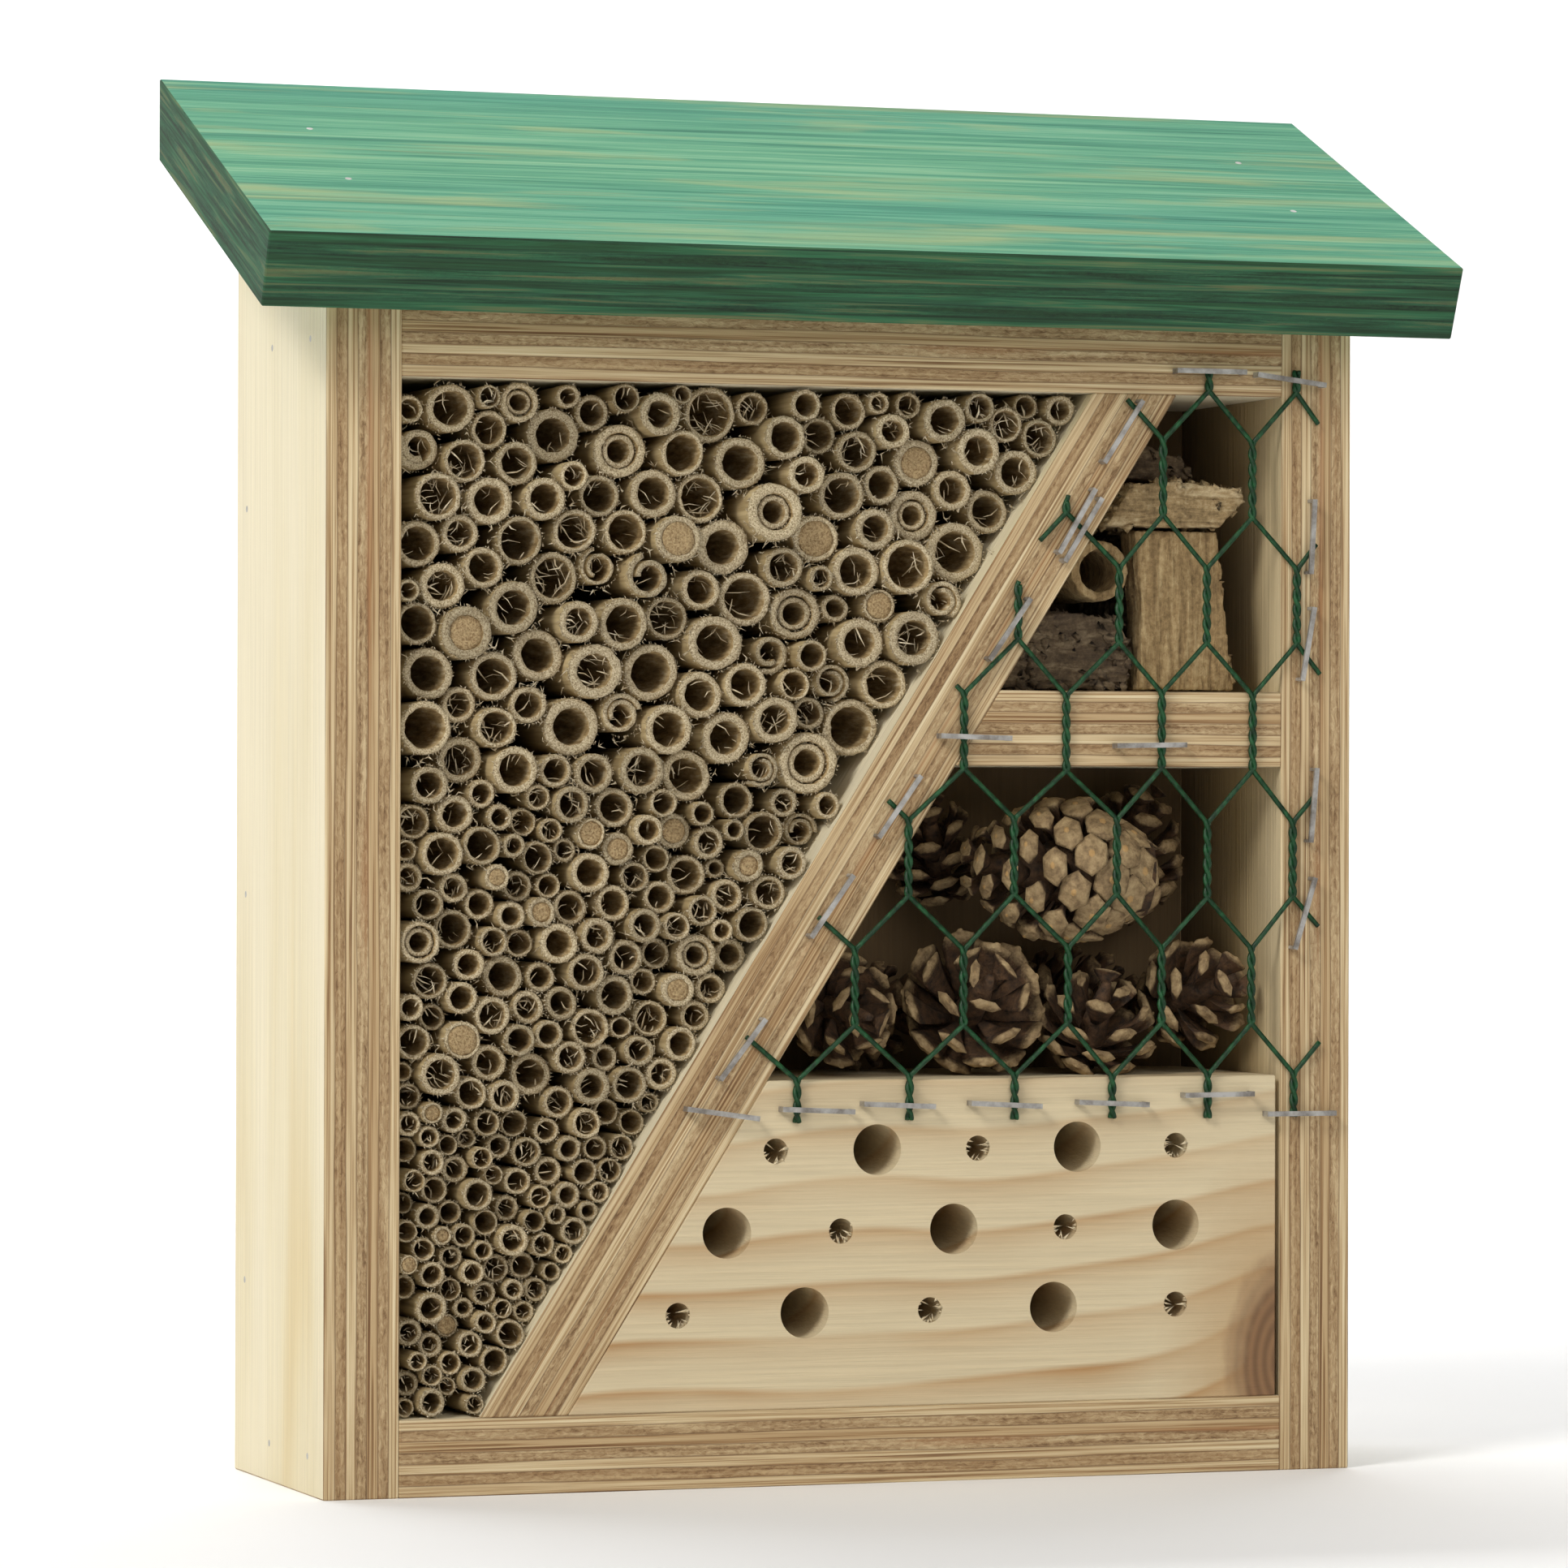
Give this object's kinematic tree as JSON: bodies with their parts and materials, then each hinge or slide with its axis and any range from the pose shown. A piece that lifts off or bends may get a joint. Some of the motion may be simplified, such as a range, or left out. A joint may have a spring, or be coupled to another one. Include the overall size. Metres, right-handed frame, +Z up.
{
  "type": "insect hotel",
  "caption": "Wooden insect hotel with a sloping roof, reeds behind a slanting divider, and cones, bark and a drilled block.",
  "frame": {"origin": "under the middle of the whole object, on the surface that it stands on", "axes": "+Z up, front faces -Y, +X to the right seen from the front"},
  "size_m": [0.295, 0.1023, 0.3329],
  "materials": {
    "plywood": "matt",
    "green_plywood": "matt",
    "pine": "matt",
    "reed": "matt",
    "bark": "matt",
    "driftwood": "matt",
    "pine_cone": "matt",
    "coated_wire": "satin",
    "staple_wire": "satin",
    "brad_wire": "satin",
    "zinc_plate": "satin"
  },
  "bodies": {
    "root": {"back_chunk": "driftwood", "back_panel": "plywood", "back_panel_brads": "brad_wire", "bark_offcut": "bark", "bark_plank": "bark", "bark_slab": "bark", "block_staples": "staple_wire", "bottom_board": "plywood", "box_brads": "brad_wire", "closed_cone": "pine_cone", "cone_back_left": "pine_cone", "cone_back_right": "pine_cone", "cone_far_left": "pine_cone", "cone_rear_left": "pine_cone", "cone_rear_right": "pine_cone", "diagonal_divider": "plywood", "divider_brads": "brad_wire", "divider_staples": "staple_wire", "driftwood_chunk": "driftwood", "drilled_block": "pine", "hanger_plate": "zinc_plate", "hanger_screws": "zinc_plate", "hollow_branch": "bark", "large_reed_01": "reed", "large_reed_02": "reed", "large_reed_03": "reed", "large_reed_04": "reed", "large_reed_05": "reed", "large_reed_06": "reed", "large_reed_07": "reed", "large_reed_08": "reed", "large_reed_09": "reed", "large_reed_10": "reed", "large_reed_11": "reed", "large_reed_12": "reed", "left_side_panel": "plywood", "open_cone_left": "pine_cone", "open_cone_middle": "pine_cone", "open_cone_right": "pine_cone", "reed_bundle_01": "reed", "reed_bundle_02": "reed", "reed_bundle_03": "reed", "reed_bundle_04": "reed", "reed_bundle_05": "reed", "reed_bundle_06": "reed", "reed_bundle_07": "reed", "reed_bundle_08": "reed", "reed_bundle_09": "reed", "reed_bundle_10": "reed", "reed_bundle_11": "reed", "right_side_panel": "plywood", "roof_board": "green_plywood", "roof_brads": "brad_wire", "shelf": "plywood", "shelf_brads": "brad_wire", "shelf_staples": "staple_wire", "side_staples": "staple_wire", "top_board": "plywood", "top_staples": "staple_wire", "wire_mesh": "coated_wire"}
  },
  "joints": []
}
